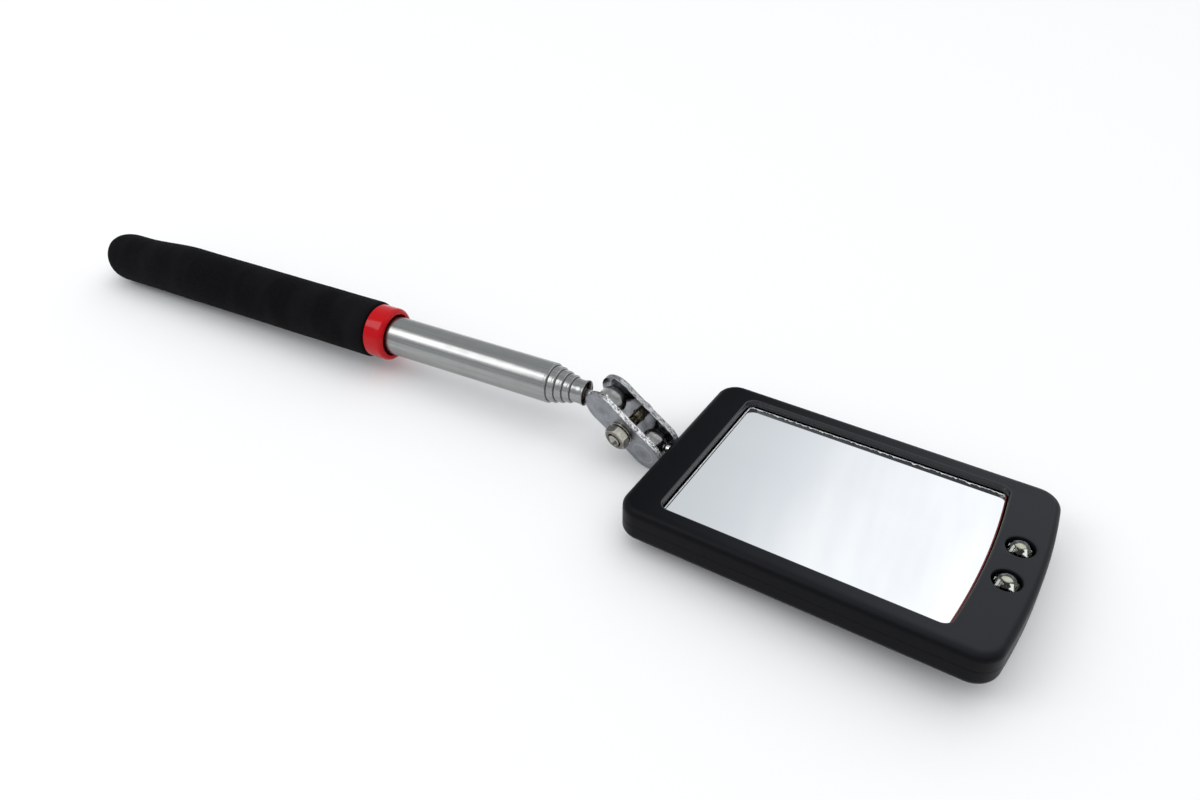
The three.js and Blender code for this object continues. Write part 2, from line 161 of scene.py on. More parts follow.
def carve(obj, *cutters):
    """Cuts the other objects out of obj and removes them."""
    for cutter in cutters:
        cut = obj.modifiers.new("cut", "BOOLEAN")
        cut.operation, cut.solver, cut.object = "DIFFERENCE", "EXACT", cutter
    graph = bpy.context.evaluated_depsgraph_get()
    carved = bpy.data.meshes.new_from_object(obj.evaluated_get(graph))
    obj.modifiers.clear()
    obj.data = carved
    for cutter in cutters:
        bpy.data.objects.remove(cutter)
    return obj


def complete(obj, body, nodes, slot, materials, smooth=30, bevel=0.0):
    """Shades the piece, gives it its materials, ties it to its body and hides the CAD nodes it stands for."""
    mesh = obj.data
    for material in materials:
        mesh.materials.append(material)
    mesh.polygons.foreach_set("use_smooth", [True] * len(mesh.polygons))
    mesh.set_sharp_from_angle(angle=radians(smooth))
    if bevel:
        edge = obj.modifiers.new("edge", "BEVEL")
        edge.width, edge.segments, edge.limit_method = bevel * MM, 3, "ANGLE"
        edge.angle_limit = radians(smooth)
        edge.harden_normals = False
    weighted = obj.modifiers.new("normals", "WEIGHTED_NORMAL")
    weighted.keep_sharp = True
    # the materials read a point's place in the piece's own frame, in millimetres
    own = mesh.attributes.new(OWN_PLACE, "FLOAT_VECTOR", "POINT")
    own.data.foreach_set("vector", [c / MM for v in mesh.vertices for c in v.co])
    mesh.transform(obj.matrix_world)
    obj.matrix_world = Matrix.Identity(4)
    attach(obj, body)
    if nodes:
        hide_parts(*nodes)
    return obj


def piece(node, skin, place, body, slot, materials, **looks):
    """The detailed piece that takes the place of one CAD node."""
    return complete(shown(f"{node}_fine", skin, place), body, [node], slot, materials, **looks)


def circle(radius, at, axis="x", sides=64, middle=(0.0, 0.0)):
    """A ring of points round an axis, `at` along it."""
    if radius < 1e-6:
        sides = 1
    points = []
    for i in range(sides):
        u = middle[0] + radius * cos(2 * pi * i / sides)
        v = middle[1] + radius * sin(2 * pi * i / sides)
        points.append({"x": (at, u, v), "y": (v, at, u), "z": (u, v, at)}[axis])
    return points


def turned(profile, axis="x", sides=64, middle=(0.0, 0.0), closed=False):
    """A turned skin from (place along the axis, radius) points."""
    skin = Skin()
    skin.skin([circle(r, at, axis, sides, middle) for at, r in profile], closed)
    return skin


def arc(centre, radius, start, end, steps):
    """Points on a circle, angles in degrees."""
    angles = [radians(start + (end - start) * i / steps) for i in range(steps + 1)]
    return [(centre[0] + radius * cos(a), centre[1] + radius * sin(a)) for a in angles]


class Outline:
    """A closed outline of arcs joined by straight runs. It can grow by any distance."""

    def __init__(self, arcs, step=None):
        self.arcs = arcs
        corners = self._corners(0.0)
        # a corner that falls on the one before is left out
        self.keep = [dist(corner, corners[i - 1]) > 1e-6 for i, corner in enumerate(corners)]
        base = self._kept(0.0)
        runs = [dist(a, b) for a, b in zip(base, base[1:] + base[:1])]
        self.splits = [max(1, round(run / step)) if step else 1 for run in runs]

    def _corners(self, grow):
        points = []
        for x, y, radius, start, end, steps in self.arcs:
            points += arc((x, y), radius + grow, start, end, steps)
        return points

    def _kept(self, grow):
        return [p for p, kept in zip(self._corners(grow), self.keep) if kept]

    def at(self, grow, z, rough=None):
        """The outline grown by `grow` at height z. rough(x, y, z) adds to the growth."""
        base, outer = self._kept(grow), self._kept(grow + 1)
        points = []
        for i, splits in enumerate(self.splits):
            k = (i + 1) % len(base)
            for t in (j / splits for j in range(splits)):
                x, y = (base[i][a] * (1 - t) + base[k][a] * t for a in (0, 1))
                out_x, out_y = (outer[i][a] * (1 - t) + outer[k][a] * t for a in (0, 1))
                push = rough(x, y, z) if rough else 0.0
                points.append((x + push * (out_x - x), y + push * (out_y - y), z))
        return points


def domed(back, tip, half, rise, back_corner, tip_corner, detail=10, step=None):
    """A rectangle whose tip end is an arc that rises by `rise` over its chord."""
    radius = (half * half + rise * rise) / (2 * rise)
    centre = tip - radius
    corner_y = half - tip_corner
    turn = asin(corner_y / (radius - tip_corner))
    corner_x = centre + (radius - tip_corner) * cos(turn)
    turn *= 180 / pi
    return Outline([
        (back + back_corner, -half + back_corner, back_corner, 180, 270, detail),
        (corner_x, -corner_y, tip_corner, -90, -turn, detail),
        (centre, 0, radius, -turn, turn, 3 * detail),
        (corner_x, corner_y, tip_corner, turn, 90, detail),
        (back + back_corner, half - back_corner, back_corner, 90, 180, detail),
    ], step)


def rounded(x0, x1, y0, y1, corner, detail=6):
    return Outline([
        (x0 + corner, y0 + corner, corner, 180, 270, detail),
        (x1 - corner, y0 + corner, corner, 270, 360, detail),
        (x1 - corner, y1 - corner, corner, 0, 90, detail),
        (x0 + corner, y1 - corner, corner, 90, 180, detail),
    ])


def disc(x, y, radius, sides=48):
    return Outline([(x, y, radius, 0, 360 - 360 / sides, sides - 1)])


def closed_skin(rings):
    """A skin through the rings, with both ends closed."""
    skin = Skin()
    skin.capped(rings)
    return skin


def slab(outline, levels):
    """A closed slab from an outline and its (growth, z) levels."""
    return closed_skin([outline.at(*level) for level in levels])


def box_skin(x, y, z):
    """A plain block, used only as a cutter."""
    return closed_skin([[(x[0], y[0], h), (x[1], y[0], h), (x[1], y[1], h), (x[0], y[1], h)] for h in z])


# ------------ materials


class Nodes:
    """A node tree in the making. Its methods add a node and return the socket of its result."""

    def __init__(self, owner):
        owner.use_nodes = True
        self.owner, self.tree = owner, owner.node_tree

    def put(self, socket, value):
        """Links or sets an input. A colour is given as three numbers."""
        if isinstance(value, bpy.types.NodeSocket):
            self.tree.links.new(value, socket)
        else:
            socket.default_value = (*value, 1) if socket.type == "RGBA" else value

    def add(self, kind, inputs=None, output=0, **settings):
        node = self.tree.nodes.new("ShaderNode" + kind)
        for key, value in settings.items():
            setattr(node, key, value)
        for key, value in (inputs or {}).items():
            self.put(node.inputs[key], value)
        return node.outputs[output]

    def maths(self, operation, a, b=0.0):
        return self.add("Math", {0: a, 1: b}, operation=operation)

    def axes(self, place):
        """The sockets X, Y and Z of a place."""
        return list(self.add("SeparateXYZ", {0: place}).node.outputs)

    def length(self, vector):
        return self.add("VectorMath", {0: vector}, "Value", operation="LENGTH")

    def along(self, vector, direction):
        return self.add("VectorMath", {0: vector, 1: direction}, "Value", operation="DOT_PRODUCT")

    def scaled(self, place, x, y, z):
        return self.add("VectorMath", {0: place, 1: (x, y, z)}, operation="MULTIPLY")

    def noise(self, place, scale, detail=4.0, rough=0.55):
        inputs = {"Vector": place, "Scale": scale, "Detail": detail, "Roughness": rough}
        return self.add("TexNoise", inputs)

    def span(self, value, low, high, to_low=0, to_high=1, **settings):
        """value, from low..high, as to_low..to_high."""
        inputs = {"Value": value, "From Min": low, "From Max": high, "To Min": to_low, "To Max": to_high}
        return self.add("MapRange", inputs, **settings)

    def mixed(self, share, a, b):
        return self.add("Mix", {0: share, 6: a, 7: b}, 2, data_type="RGBA")

    def bumped(self, height, distance, strength=1.0, normal=None):
        inputs = {"Height": height, "Distance": distance * MM, "Strength": strength}
        if normal:
            inputs["Normal"] = normal
        return self.add("Bump", inputs)


class Look(Nodes):
    """A material. `place` is a point's place in millimetres, in the piece's own frame, or for the CAD nodes
    in the frame they all share."""

    def __init__(self, name, on_cad=False):
        super().__init__(bpy.data.materials.new(name))
        if on_cad:
            metres = self.add("TexCoord", output="Object")
            self.place = self.scaled(metres, 1 / MM, 1 / MM, 1 / MM)
        else:
            self.place = self.add("Attribute", output="Vector", attribute_name=OWN_PLACE)

    def noisy(self, scale, detail=4.0, rough=0.55, stretch=(1, 1, 1)):
        """Noise over the place, drawn out by `stretch`."""
        place = self.place if stretch == (1, 1, 1) else self.scaled(self.place, *stretch)
        return self.noise(place, scale, detail, rough)

    def done(self, **inputs):
        """The material, with these inputs of its shader; a name's underscores stand for spaces."""
        shader = self.tree.nodes["Principled BSDF"]
        for key, value in inputs.items():
            self.put(shader.inputs[key.replace("_", " ")], value)
        return self.owner


def foam():
    look = Look("closed_cell_foam")
    cells = look.add("TexVoronoi", {"Vector": look.place, "Scale": 3.2}, feature="F1")
    grain = look.noisy(2.2, 6, 0.7)
    bands = look.noisy(0.13, 2, stretch=(1, 0.35, 0.35))
    dark, light = (0.0012, 0.0012, 0.0015), (0.0045, 0.0045, 0.0052)
    colour = look.mixed(look.span(grain, 0.35, 0.7), dark, light)
    colour = look.mixed(look.span(bands, 0.45, 0.72, 0, 0.6), colour, (0.0085, 0.0085, 0.0095))
    normal = look.bumped(grain, 0.12, 0.6, look.bumped(cells, 0.1, 0.7))
    return look.done(Base_Color=colour, Roughness=0.95, Specular_IOR_Level=0.1, Normal=normal)


def red_plastic():
    look = Look("gloss_red_plastic")
    cloud = look.noisy(0.5, 3)
    fine = look.noisy(6, 3)
    colour = look.mixed(cloud, (0.42, 0.0, 0.003), (0.52, 0.0005, 0.005))
    return look.done(Base_Color=colour, Roughness=look.span(fine, 0.3, 0.7, 0.1, 0.14),
                     Specular_IOR_Level=0.2, Normal=look.bumped(cloud, 0.03, 0.4))


def black_plastic(name, dark, light, rough, on_cad=False):
    """Spark-textured plastic. The head's two broad faces are painted a little greyer than its sides, as
    painted light.
    """
    look = Look(name, on_cad)
    spark = look.noisy(7.5, 3, 0.6)
    cloud = look.noisy(0.09, 5, 0.6)
    colour, specular = look.mixed(cloud, dark, light), 0.2
    if not on_cad:
        x, _, z = look.axes(look.place)
        depth = look.maths("ABSOLUTE", look.maths("SUBTRACT", z, THICKNESS / 2))
        # painted light: the faces are painted darkest at the hinge and paler towards the lamp end
        lit_towards_lamp_end = look.span(x, 6, 62, 0.12, 1)
        face = look.maths("MULTIPLY", look.span(depth, 3.3, 4.35), lit_towards_lamp_end)
        painted_lit_face = look.mixed(cloud, (0.010, 0.011, 0.0135), (0.018, 0.019, 0.0225))
        colour = look.mixed(face, colour, painted_lit_face)
        flat = look.span(depth, 4.15, 4.39)
        sheen = look.span(x, 4, 66, specular * 0.16, specular * 0.9)
        specular = look.add("Mix", {"Factor": flat, "A": specular * 0.4, "B": sheen})
    return look.done(Base_Color=colour, Roughness=look.span(cloud, 0.3, 0.7, rough - 0.05, rough + 0.06),
                     Specular_IOR_Level=specular, Normal=look.bumped(spark, 0.012, 0.5))


def moulded_wall():
    """The window's walls, which the mould has left smooth; their colour is also painted a little greyer than
    the plastic's sides, as painted light.
    """
    look = Look("smooth_black_wall")
    cloud = look.noisy(0.5, 3)
    colour = look.mixed(cloud, (0.008, 0.009, 0.011), (0.016, 0.017, 0.020))
    return look.done(Base_Color=colour, Roughness=look.span(cloud, 0.3, 0.7, 0.2, 0.28),
                     Specular_IOR_Level=0.55, Normal=look.bumped(cloud, 0.01, 0.4))


def tube_steel():
    look = Look("drawn_steel_tube")
    streak = look.noisy(1.0, 3, 0.55, stretch=(0.04, 4, 4))
    smudge = look.noisy(0.3, 3, 0.5, stretch=(1.0, 0.5, 0.5))
    colour = look.mixed(look.span(streak, 0.35, 0.65), (0.275, 0.28, 0.276), (0.36, 0.365, 0.358))
    colour = look.mixed(look.span(smudge, 0.5, 0.7, 0, 0.15), colour, (0.20, 0.205, 0.20))
    return look.done(Base_Color=colour, Metallic=1.0, Roughness=look.span(smudge, 0.35, 0.65, 0.24, 0.265),
                     Normal=look.bumped(streak, 0.0003, 0.5))


def metal(name, dark, light, rough, spread, scale, on_cad=False):
    look = Look(name, on_cad)
    stain = look.noisy(scale, 4, 0.55)
    return look.done(Base_Color=look.mixed(look.span(stain, 0.35, 0.68), dark, light), Metallic=1.0,
                     Roughness=look.span(stain, 0.3, 0.7, rough - spread, rough + spread),
                     Normal=look.bumped(look.noisy(5, 2), 0.002, 0.5))


def screw_nickel():
    """The clamp screw: bright at both ends, and between the plates brown and painted much darker, as painted
    shade.
    """
    look = Look("nickel_thread_shaded_between_plates")
    x, y, _ = look.axes(look.place)
    stain = look.noisy(0.9, 4)
    bright = look.mixed(stain, (0.26, 0.25, 0.225), (0.50, 0.49, 0.45))
    # painted shade: one half of the screw's end in the nut is painted dark
    shaded_half_of_end = look.maths("MULTIPLY", look.span(x, 0.0, 0.3, 0, 0.9), look.span(y, -7.0, -7.2))
    bright = look.mixed(shaded_half_of_end, bright, (0.03, 0.028, 0.02))
    brown_shaded_middle = look.mixed(look.span(stain, 0.4, 0.6), (0.035, 0.028, 0.016), (0.30, 0.27, 0.20))
    outside = look.span(look.maths("ABSOLUTE", y), 3.6, 4.1)
    return look.done(Base_Color=look.mixed(outside, brown_shaded_middle, bright), Metallic=1.0,
                     Roughness=look.span(stain, 0.3, 0.7, 0.2, 0.32), Normal=look.bumped(stain, 0.01, 0.5))


def nut_nickel():
    """The clamp nut, with its front painted darker, and a dark ring painted in the hole's chamfer round the
    screw, both as painted shade.
    """
    look = Look("nut_nickel_painted_shade")
    stain = look.noisy(0.7, 4)
    colour = look.mixed(look.span(stain, 0.35, 0.68), (0.34, 0.325, 0.275), (0.60, 0.58, 0.50))
    # painted shade: a dark ring in the hole's chamfer round the screw
    clear_of_chamfer_shade = look.span(look.length(look.scaled(look.place, 1, 0, 1)), 1.75, 2.05)
    # painted shade: the nut's front face is painted darker
    front = look.span(look.axes(look.place)[1], -6.62, -6.86)
    colour = look.mixed(front, colour, look.mixed(stain, (0.11, 0.105, 0.085), (0.26, 0.25, 0.21)))
    return look.done(Base_Color=look.mixed(clear_of_chamfer_shade, (0.035, 0.03, 0.02), colour), Metallic=1.0,
                     Roughness=look.span(clear_of_chamfer_shade, 0, 1, 0.5, 0.24), Normal=look.bumped(stain, 0.02, 0.5))


def plate_face():
    """Plated steel, with painted highlights along the rings where stamping the ball seats has marked it,
    stronger on one side, and painted shade in the middle of each seat.
    """
    look = Look("plated_steel_face")
    x, _, z = look.axes(look.place)
    from_seat = look.maths("SUBTRACT", look.maths("ABSOLUTE", x), SPACING / 2)
    radial = look.length(look.add("CombineXYZ", {"X": from_seat, "Y": z}))
    stain = look.noisy(0.45, 4)
    colour = look.mixed(look.span(stain, 0.35, 0.68), (0.24, 0.25, 0.27), (0.34, 0.35, 0.375))
    # painted highlight: a pale ring round each seat, strongest towards +X and +Z
    ring = look.maths("MULTIPLY", look.span(radial, 2.5, 2.75), look.span(radial, 3.0, 3.2, 0.5, 0))
    highlight_side = look.span(look.along(look.place, (1, 0, 1)), -5, 9, 0.2, 1)
    colour = look.mixed(look.maths("MULTIPLY", ring, highlight_side), colour, (0.52, 0.53, 0.56))
    # painted shade in the middle of each seat
    colour = look.mixed(look.span(radial, 1.5, 0.5, 0, 0.5), colour, (0.16, 0.165, 0.18))
    return look.done(Base_Color=colour, Metallic=1.0, Roughness=look.span(stain, 0.3, 0.7, 0.34, 0.46),
                     Normal=look.bumped(look.noisy(5, 2), 0.004, 0.5))


def stem_steel():
    """Turned steel, dark and brown inside the tube's mouth, where the darkness is painted shade."""
    look = Look("turned_stem_steel")
    x = look.axes(look.place)[0]
    rings = look.noisy(1, 2, stretch=(8, 0.05, 0.05))
    colour = look.mixed(rings, (0.62, 0.62, 0.60), (0.78, 0.78, 0.77))
    # painted shade inside the tube's mouth
    inside = look.span(x, FLARED_TIP, FLARED_TIP - 1)
    return look.done(Base_Color=look.mixed(inside, colour, (0.075, 0.035, 0.028)),
                     Metallic=look.span(inside, 0, 1, 1, 0.4),
                     Roughness=look.span(rings, 0.3, 0.7, 0.14, 0.26), Normal=look.bumped(rings, 0.02, 0.5))


def sheared_edge():
    """Torn steel, painted darker on the far plate and along the rolled-over outer corner as painted shade,
    and darker round the rod's end.
    """
    look = Look("sheared_steel_edge")
    tear = look.noisy(1.0, 6, 0.7, stretch=(1.4, 3.4, 1.4))
    specks = look.noisy(1.3, 5, 0.75, stretch=(1.2, 2.6, 1.2))
    colour = look.mixed(look.span(tear, 0.42, 0.58), (0.66, 0.66, 0.68), (0.98, 0.98, 0.98))
    x, y, _ = look.axes(look.place)
    # painted shade on the far plate's edge; darker round the rod's end
    darker_far_and_rod_end = look.maths("MAXIMUM", look.span(x, -7.4, -9.6, 0, 0.8), look.span(y, 0, 1, 0, 0.45))
    # painted shade along the rolled-over outer corner
    rolled = look.span(look.maths("ABSOLUTE", y), PLATE_OUTER - 0.22, PLATE_OUTER - 0.12, 0, 0.75)
    colour = look.mixed(look.maths("MAXIMUM", darker_far_and_rod_end, rolled), colour, (0.10, 0.10, 0.11))
    colour = look.mixed(look.span(specks, 0.525, 0.55, 0, 0.97), colour, (0.02, 0.02, 0.022))
    normal = look.bumped(specks, 0.14, 0.8, look.bumped(tear, 0.16, 0.8))
    return look.done(Base_Color=colour, Metallic=0.3, Roughness=0.38, Normal=normal)


def chipped_glass():
    look = Look("chipped_glass_edge")
    chip = look.noisy(1.9, 6, 0.75)
    x, y, _ = look.axes(look.place)
    dark = look.mixed(look.span(y, 20.5, 21.5), (0.55, 0.57, 0.58), (0.28, 0.29, 0.30))
    colour = look.mixed(look.span(chip, 0.40, 0.50), dark, (0.95, 0.96, 0.96))
    # the silvering's red-brown backing paint shows along the tip
    colour = look.mixed(look.span(x, *GLASS_TIP), colour, (0.24, 0.035, 0.025))
    return look.done(Base_Color=colour, Roughness=0.3, Normal=look.bumped(chip, 0.2, 0.9))


def glass_border():
    """The strip of bare glass between the chipped arris and the silvering."""
    look = Look("bare_glass_border")
    shade = look.span(look.noisy(0.8, 4, 0.6), 0.35, 0.65)
    colour = look.mixed(shade, (0.012, 0.014, 0.017), (0.045, 0.05, 0.055))
    return look.done(Base_Color=colour, Roughness=0.15, Specular_IOR_Level=0.1)


def silvering():
    look = Look("silvered_glass")
    wisp = look.noisy(0.06, 4, 0.5, stretch=(0.6, 1.6, 1))
    return look.done(Base_Color=look.mixed(wisp, (0.90, 0.92, 0.94), (0.95, 0.96, 0.97)),
                     Metallic=1.0, Roughness=look.span(wisp, 0.3, 0.7, 0.015, 0.035))


def clear_lens():
    look = Look("clear_epoxy")
    haze = look.noisy(0.8, 3)
    return look.done(Base_Color=(0.80, 0.83, 0.77), Roughness=look.span(haze, 0.3, 0.7, 0.0, 0.03),
                     IOR=1.52, Transmission_Weight=1.0)


def phosphor():
    look = Look("lamp_phosphor")
    grain = look.noisy(5, 4)
    return look.done(Base_Color=look.mixed(grain, (0.90, 0.88, 0.68), (0.97, 0.96, 0.84)),
                     Roughness=0.45, Normal=look.bumped(grain, 0.03, 0.6))


def circuit_board():
    look = Look("solder_mask", on_cad=True)
    brick = look.add("TexBrick", {"Vector": look.place, "Scale": 0.45, "Mortar Size": 0.05}, "Fac")
    mask = look.mixed(look.noisy(1.3, 3), (0.010, 0.010, 0.012), (0.018, 0.018, 0.020))
    return look.done(Base_Color=look.mixed(brick, mask, (0.035, 0.035, 0.04)), Roughness=0.4,
                     Normal=look.bumped(brick, 0.04, 0.5))


def matt(name, dark, light, rough=0.5):
    look = Look(name, on_cad=True)
    grain = look.noisy(3, 4)
    return look.done(Base_Color=look.mixed(grain, dark, light), Roughness=rough,
                     Normal=look.bumped(grain, 0.03, 0.5))


FOAM = foam()
RED = red_plastic()
BLACK = black_plastic("satin_black_plastic", (0.0022, 0.0024, 0.0032), (0.004, 0.0043, 0.0055), 0.4)
WALL_BLACK = moulded_wall()
TUBE = tube_steel()
STEM = stem_steel()
POLISHED = metal("polished_steel_ball", (0.26, 0.26, 0.25), (0.50, 0.50, 0.49), 0.2, 0.05, 0.5)
PLATE = plate_face()
PLATE_INSIDE = metal("plated_steel_inside", (0.10, 0.10, 0.11), (0.46, 0.47, 0.50), 0.17, 0.05, 0.22)
SHEARED = sheared_edge()
SCREW = screw_nickel()
NUT = nut_nickel()
NICKEL = metal("warm_nickel", (0.30, 0.285, 0.235), (0.52, 0.50, 0.43), 0.22, 0.05, 0.7)
LEAD = metal("lamp_lead", (0.10, 0.10, 0.09), (0.24, 0.235, 0.21), 0.25, 0.05, 0.7)
CELL_STEEL = metal("battery_can", (0.50, 0.50, 0.50), (0.66, 0.66, 0.65), 0.22, 0.06, 0.3)
SILVER = silvering()
CHIPPED = chipped_glass()
BORDER = glass_border()
LENS = clear_lens()
PHOSPHOR = phosphor()
INNER_BLACK = black_plastic("inner_black_plastic", (0.006, 0.006, 0.007), (0.011, 0.011, 0.012), 0.5,
                            on_cad=True)
INNER_NICKEL = metal("contact_nickel", (0.40, 0.37, 0.29), (0.62, 0.59, 0.50), 0.26, 0.07, 0.9, on_cad=True)
INNER_STEEL = metal("switch_can", (0.40, 0.41, 0.43), (0.60, 0.61, 0.63), 0.25, 0.06, 0.5, on_cad=True)
BRONZE = metal("spring_bronze", (0.33, 0.18, 0.07), (0.48, 0.28, 0.11), 0.35, 0.08, 0.5, on_cad=True)
BOARD = circuit_board()
PAD = matt("foam_tape", (0.12, 0.125, 0.13), (0.19, 0.20, 0.21), 0.9)
VINYL_RED = matt("red_vinyl", (0.36, 0.012, 0.012), (0.46, 0.02, 0.02))
VINYL_BLACK = matt("black_vinyl", (0.012, 0.012, 0.012), (0.024, 0.024, 0.024))

# ------------ grip and collar

GRIP_RADIUS, GRIP_BORE, GRIP_FRONT, GRIP_LIP, DOME_CENTRE, BORE_END = 7.42, 5.15, -68.4, 0.7, -157.5, -155.6


def flattened(x, y, z):
    """The foam is pressed a little flat on the far upper side of its closed end."""
    start_x, reach, depth, pressed = -134, 20, 1.25, (0.66, 0.75)
    part = max(0.0, min(1.0, (start_x - x) / reach))
    part *= part * (3 - 2 * part)
    rise = max(0.0, (pressed[0] * y + pressed[1] * z) / GRIP_RADIUS)
    dent = depth * part * rise ** 1.5
    return x, y - pressed[0] * dent, z - pressed[1] * dent


def build_grip():
    dome = arc((DOME_CENTRE, 0), GRIP_RADIUS, 180, 90, 16)
    body_steps = 74
    run = GRIP_FRONT - GRIP_LIP - DOME_CENTRE
    body = [(DOME_CENTRE + run * i / body_steps, GRIP_RADIUS) for i in range(1, body_steps + 1)]
    lip = arc((GRIP_FRONT - GRIP_LIP, GRIP_RADIUS - GRIP_LIP), GRIP_LIP, 75, 0, 5)
    bore = [(GRIP_FRONT, GRIP_BORE + 0.15), (GRIP_FRONT - 0.2, GRIP_BORE), (BORE_END, GRIP_BORE),
            (BORE_END, 0)]
    skin = Skin()
    rings = []
    for at, radius in dome + body + lip:
        ring = []
        for x, y, z in circle(radius, at, sides=112):
            # the foam swells and sinks a little along its length
            swell = noise.noise(Vector((x * 0.11, y * 0.09, z * 0.09)))
            pores = noise.noise(Vector((x, y, z)) * 0.9)
            shrink = 1 - (0.055 * (1 + swell) + 0.012 * (1 + pores)) / GRIP_RADIUS
            ring.append(flattened(x, y * shrink, z * shrink))
        rings.append(ring)
    rings += [circle(r, at, sides=112) for at, r in bore]
    skin.skin(rings)
    grip = piece("foam_grip", skin, ROD, "handle", "foam", [FOAM], smooth=50)


def build_collar():
    front, back, radius, bore = -62.6, -68.2, 6.9, 5.45
    profile = [(back, bore), (back, radius - 0.3), (back + 0.1, radius - 0.09), (back + 0.3, radius)]
    profile += arc((front - 1.15, radius - 1.15), 1.15, 90, 0, 8)
    profile += arc((front - 0.3, bore + 0.3), 0.3, 0, -90, 4)
    skin = turned(profile, sides=96, closed=True)
    piece("red_collar", skin, ROD, "handle", "red_plastic", [RED], smooth=35)


# ------------ telescoping tubes

TUBE_RADIUS, TUBE_STEP, TUBE_WALL = 5.0, 0.5, 0.25
TUBE_TIP, TIP_STEP = -15.6, 1.9
HANDLE_BACK, SLIDE_BACK = -154, -150


def rolled_tube(number):
    """Tubes 1 to 4 have their mouth rolled in over the next tube's end."""
    radius = TUBE_RADIUS - TUBE_STEP * (number - 1)
    bore = radius - TUBE_WALL
    tip = TUBE_TIP + TIP_STEP * (number - 1)
    back = HANDLE_BACK if number == 1 else SLIDE_BACK + TIP_STEP * (number - 2)
    lip = radius - TUBE_STEP + 0.05
    steps = 12
    profile = [(back, bore), (back, radius)]
    profile += [(back + (tip - 0.9 - back) * i / steps, radius) for i in range(1, steps)]
    # a shallow rolled groove just behind the mouth, then the mouth turned in
    profile += [(tip - 0.95, radius), (tip - 0.8, radius - 0.05), (tip - 0.62, radius - 0.05),
                (tip - 0.5, radius)]
    profile += arc((tip - 0.3, radius - 0.3), 0.3, 80, 0, 5)
    profile += [(tip, lip + 0.05), (tip - 0.06, lip), (tip - 0.5, lip), (tip - 0.8, bore)]
    return turned(profile, sides=96, closed=True)


def flared_tube():
    """Tube 5 draws in a little and then flares round the ball's stem."""
    radius, tip, back = 3.0, FLARED_TIP, SLIDE_BACK + TIP_STEP * 3
    bore = radius - TUBE_WALL
    profile = [(back, bore), (back, radius), (tip - 3.0, radius), (tip - 2.3, radius - 0.06),
               (tip - 1.5, radius - 0.08), (tip - 0.95, radius - 0.02), (tip - 0.5, radius + 0.1)]
    profile += arc((tip - 0.12, radius + 0.08), 0.12, 100, -20, 5)
    profile += [(tip - 0.08, radius - 0.02), (tip - 0.6, bore + 0.06), (tip - 1.3, bore)]
    return turned(profile, sides=96, closed=True)


def build_tubes():
    for number in range(1, 6):
        skin = flared_tube() if number == 5 else rolled_tube(number)
        body = "handle" if number == 1 else f"tube_{number}"
        piece(f"tube_{number}", skin, ROD, body, "tube_steel", [TUBE])


# ------------ ball joints

BALL, STEM_RADIUS = 3.5, 1.1


def ball(direction):
    """A turned ball whose free end keeps the lathe's small centre mark."""
    sphere = [(-x, r) for x, r in arc((0, 0), BALL, 18, 172, 44)]
    mark = [(-BALL + 0.2, 0.0), (-BALL * cos(radians(8)) + 0.03, 0.34)]
    neck = [(BALL * cos(radians(18)), 0.9), (BALL * cos(radians(18)), 0)]
    profile = mark + sphere[::-1] + neck
    return profile if direction > 0 else [(-x, r) for x, r in profile[::-1]]


def build_balls():
    steel = "polished_steel"
    piece("rod_ball", turned(ball(-1), sides=72), ROD, "rod_ball", steel, [POLISHED], smooth=50)
    stem = [(-15, 0), (-15, 2.45), (-14.8, 2.65), (-8.5, 2.65), (-8.3, 2.6), (-7.8, 2.1), (-7.8, 1.35),
            (-7.6, STEM_RADIUS), (-4.0, STEM_RADIUS), (-3.75, STEM_RADIUS - 0.06), (-3.6, STEM_RADIUS - 0.2),
            (-3.6, 0)]
    piece("rod_stem", turned(stem, sides=48), ROD, "rod_stem", steel, [STEM], smooth=35)

    at_ball = HEAD @ Matrix.Translation(-BALL_TO_HEAD)
    piece("head_ball", turned(ball(1), sides=72), at_ball, "head_ball", steel, [POLISHED], smooth=50)
    stem = [(3.6, 0), (3.6, STEM_RADIUS - 0.2), (3.75, STEM_RADIUS - 0.06), (4.0, STEM_RADIUS),
            (7.9, STEM_RADIUS), (7.9, 1.95), (8.05, 2.1), (8.95, 2.1), (9.1, 1.95), (9.1, STEM_RADIUS),
            (10.4, STEM_RADIUS), (10.5, 0)]
    piece("head_stem", turned(stem, sides=48), at_ball, "head_stem", steel, [STEM], smooth=35)


# ------------ link

SEAT_RADIUS = 3.6
CLAMP_HOLE = 1.65


def plate_ring(inset, y, rough=0.0):
    """The plate's outline in X and Z at depth y, with a torn surface where rough > 0."""
    points, steps = [], 56
    end = END_RADIUS - inset
    for side in (1, -1):
        for i in range(steps):
            a = -pi / 2 + pi * i / steps
            points.append((side * (SPACING / 2 + end * cos(a)), side * end * sin(a)))
        for i in range(steps):
            t = i / steps
            dip = 4 * t * (1 - t) * (END_RADIUS - WAIST)
            points.append((side * SPACING * (0.5 - t), side * (end - dip)))
    torn = []
    for x, z in points:
        if rough:
            tear = noise.noise(Vector((x * 1.7, y * 2.5, z * 1.7))) + 0.6 * noise.noise(Vector((x, y, z)) * 4)
            pull = 1 - rough * max(0.0, 0.35 + tear) / hypot(x, z)
            x, z = x * pull, z * pull
        torn.append((x, y, z))
    return torn


